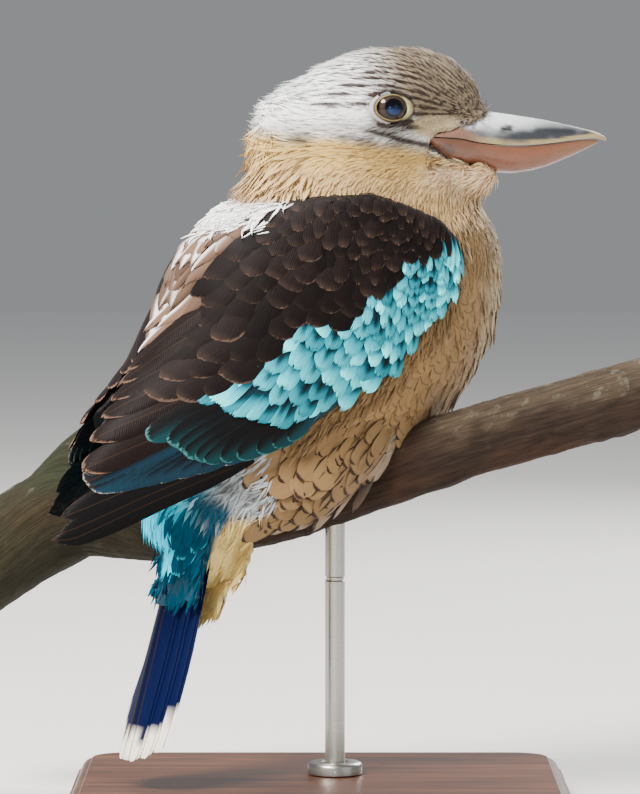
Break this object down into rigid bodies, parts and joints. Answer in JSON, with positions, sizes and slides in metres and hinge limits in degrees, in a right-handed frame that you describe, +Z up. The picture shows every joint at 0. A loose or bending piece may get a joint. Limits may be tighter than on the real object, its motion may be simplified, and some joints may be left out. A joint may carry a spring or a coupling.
{
  "type": "blue-winged kookaburra model on a cut branch and display stand",
  "caption": "Life-size still model of a male blue-winged kookaburra with folded wings, perched on a short cut branch held by a plain wooden stand with a steel rod.",
  "frame": {"origin": "centre of the underside of the stand's base", "axes": "+Z up, +X along the perch towards the side the bill points to, +Y away from the side the wing and back are seen from"},
  "size_m": [0.3024, 0.1526, 0.3067],
  "materials": {
    "cream_coat": "soft cream and buff feathers with thin dark bars",
    "head_coat": "soft whitish feathers with brown streaks",
    "brown_feather": "dark brown wing feathers with azure coverts and blue secondaries",
    "azure_feather": "bright azure feathers",
    "blue_feather": "deep blue tail feathers with white tips",
    "bill_horn": "dark slate horn with a dull gloss",
    "bill_flesh": "flesh-coloured horn with a dull gloss",
    "eye_glass": "dark glossy eye",
    "eyelid_skin": "fine folded skin",
    "foot_skin": "scaled grey-green skin",
    "claw_horn": "black-brown horn",
    "bark": "weathered bark with moss and lichen",
    "stand_wood": "dark stained wood, satin lacquer",
    "stand_steel": "brushed"
  },
  "bodies": {
    "root": {"head": "head_coat", "neck": "cream_coat", "torso": "cream_coat", "rump": "azure_feather", "bill_upper": "bill_horn", "bill_lower": "bill_flesh", "eye_right": "eye_glass", "eye_left": "eye_glass", "eyelids_right": "eyelid_skin", "eyelids_left": "eyelid_skin", "wing_right": "brown_feather", "wing_left": "brown_feather", "tail": "blue_feather", "uppertail_coverts": "azure_feather", "undertail_coverts": "cream_coat", "foot_right": "foot_skin", "foot_left": "foot_skin", "claw_outer_right": "claw_horn", "claw_middle_right": "claw_horn", "claw_inner_right": "claw_horn", "claw_hind_right": "claw_horn", "claw_outer_left": "claw_horn", "claw_middle_left": "claw_horn", "claw_inner_left": "claw_horn", "claw_hind_left": "claw_horn", "perch": "bark", "stand_base": "stand_wood", "stand_rod": "stand_steel", "stand_collar": "stand_steel"}
  },
  "joints": []
}
